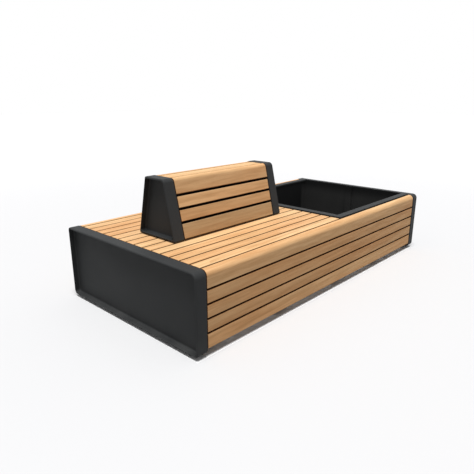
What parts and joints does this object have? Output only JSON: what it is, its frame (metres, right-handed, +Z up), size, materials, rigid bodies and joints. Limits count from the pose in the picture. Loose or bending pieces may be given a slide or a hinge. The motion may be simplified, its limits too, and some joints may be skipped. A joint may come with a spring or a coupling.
{
  "type": "bench with planter",
  "caption": "Slatted timber platform bench between steel tray end panels, with a double-sided backrest on the deck and a deep steel planter at one end.",
  "frame": {"origin": "on the ground, under the middle of the bench", "axes": "+X along the bench from the deck end to the planter end, -Y is the front that the picture shows, +Z up"},
  "size_m": [2.525, 1.19, 0.819],
  "materials": {
    "timber": "oiled, planed softwood or hardwood with eased edges, grain along each slat",
    "panel_steel": "anthracite powder coat, fine texture, satin",
    "planter_steel": "anthracite powder coat, fine texture, slightly dusty inside",
    "frame_steel": "anthracite powder coat over welded plate, matte",
    "bar_steel": "hot-dip galvanised, dull",
    "fastener_steel": "stainless steel, satin",
    "foot_rubber": "matte moulded rubber"
  },
  "bodies": {
    "root": {"back_slat_1": "timber", "back_slat_2": "timber", "back_slat_3": "timber", "back_slat_4": "timber", "backrest_back_slat_1": "timber", "backrest_back_slat_2": "timber", "backrest_back_slat_3": "timber", "backrest_bar_back": "bar_steel", "backrest_bar_front": "bar_steel", "backrest_bolt_back_left": "fastener_steel", "backrest_bolt_back_right": "fastener_steel", "backrest_bolt_front_left": "fastener_steel", "backrest_bolt_front_right": "fastener_steel", "backrest_corner_slat_back": "timber", "backrest_corner_slat_front": "timber", "backrest_front_slat_1": "timber", "backrest_front_slat_2": "timber", "backrest_front_slat_3": "timber", "backrest_panel_left": "panel_steel", "backrest_panel_right": "panel_steel", "backrest_rib_left": "frame_steel", "backrest_rib_right": "frame_steel", "backrest_spine": "frame_steel", "backrest_top_slat": "timber", "corner_slat_back": "timber", "corner_slat_front": "timber", "cross_frame_deck_end": "frame_steel", "cross_frame_left": "frame_steel", "cross_frame_middle": "frame_steel", "deck_slat_01": "timber", "deck_slat_02": "timber", "deck_slat_03": "timber", "deck_slat_04": "timber", "deck_slat_05": "timber", "deck_slat_06": "timber", "deck_slat_07": "timber", "deck_slat_08": "timber", "deck_slat_09": "timber", "deck_slat_10": "timber", "deck_slat_11": "timber", "deck_slat_12": "timber", "deck_slat_13": "timber", "deck_slat_14": "timber", "end_panel_left": "panel_steel", "end_panel_right": "panel_steel", "foot_back_left": "foot_rubber", "foot_back_middle": "foot_rubber", "foot_back_right": "foot_rubber", "foot_front_left": "foot_rubber", "foot_front_middle": "foot_rubber", "foot_front_right": "foot_rubber", "front_slat_1": "timber", "front_slat_2": "timber", "front_slat_3": "timber", "front_slat_4": "timber", "planter_frame_middle": "frame_steel", "planter_frame_right": "frame_steel", "planter_rim": "planter_steel", "planter_stiffener": "planter_steel", "planter_tub": "planter_steel"}
  },
  "joints": []
}
